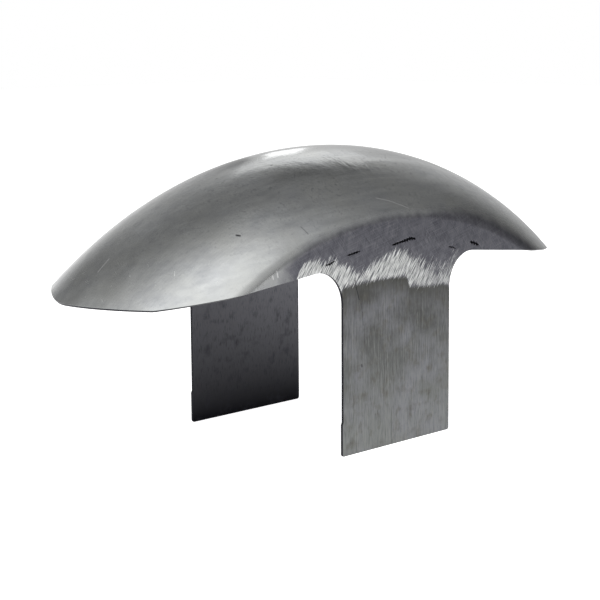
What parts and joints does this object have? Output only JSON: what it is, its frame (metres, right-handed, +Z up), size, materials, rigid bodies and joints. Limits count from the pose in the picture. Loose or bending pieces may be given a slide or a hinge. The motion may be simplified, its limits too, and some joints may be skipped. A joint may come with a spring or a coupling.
{
  "type": "motorcycle front fender",
  "caption": "Raw pressed steel front fender: a crowned shell that follows the wheel, with a flat mounting leg hanging from each side wall.",
  "frame": {"origin": "midway between the two legs and midway along them, on the plane of their lower edges", "axes": "+X along the wheel towards one tip, +Y across the wheel, +Z up"},
  "size_m": [0.478, 0.16, 0.2135],
  "materials": {
    "raw_steel": "satin"
  },
  "bodies": {
    "root": {"fender": "raw_steel"}
  },
  "joints": []
}
